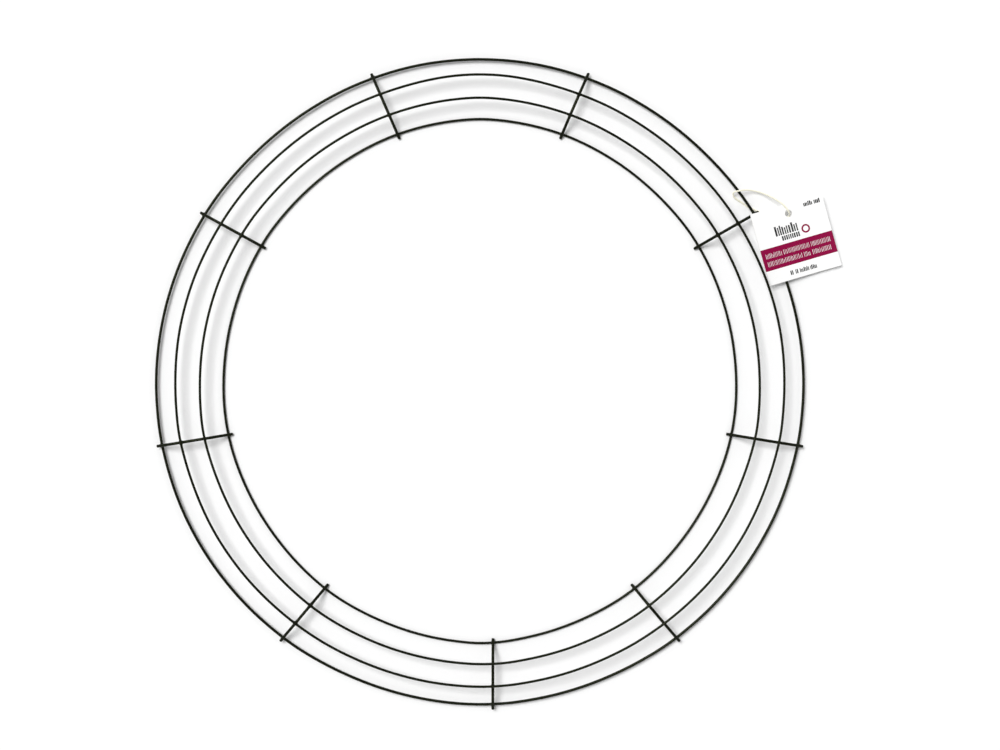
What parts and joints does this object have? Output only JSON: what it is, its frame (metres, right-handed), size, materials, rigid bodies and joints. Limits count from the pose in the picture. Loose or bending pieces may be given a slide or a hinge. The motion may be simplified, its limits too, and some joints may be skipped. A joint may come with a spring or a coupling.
{
  "type": "wreath frame",
  "caption": "Wire wreath frame: concentric painted steel rings welded to bent cross wires in a shallow dome, with a square hang tag on a string loop.",
  "frame": {"origin": "centre of the wires' outline, on the surface that the frame lies on", "axes": "+Z out of the front, which is the domed side; +Y towards the top of the rings, with one cross wire near the bottom; +X to the right, where the tag is"},
  "size_m": [0.4846, 0.4602, 0.0124],
  "materials": {
    "green_wire": "satin dark green enamel",
    "card": "smooth white card with a crimson printed band",
    "cotton_string": "matt twisted cotton"
  },
  "bodies": {
    "frame": {"outer_ring": "green_wire", "second_ring": "green_wire", "third_ring": "green_wire", "inner_ring": "green_wire", "crossbar_1": "green_wire", "crossbar_2": "green_wire", "crossbar_3": "green_wire", "crossbar_4": "green_wire", "crossbar_5": "green_wire", "crossbar_6": "green_wire", "crossbar_7": "green_wire", "crossbar_8": "green_wire", "crossbar_9": "green_wire"},
    "string": {"tag_string": "cotton_string", "string_knot": "cotton_string"},
    "tag": {"hang_tag": "card"}
  },
  "joints": [
    {"name": "tag_lift", "type": "hinge", "parent": "frame", "child": "string", "pos_m": [0.18977, 0.11823, 0.00914], "axis": [0.2761, -0.9591, -0.0623], "range_deg": [0, 88], "deforming": ["tag_string"]},
    {"name": "tag_swivel", "type": "hinge", "parent": "string", "child": "tag", "pos_m": [0.21736, 0.1201, 0.00624], "axis": [0.1063, -0.034, 0.9938], "range_deg": [0, 10]}
  ]
}
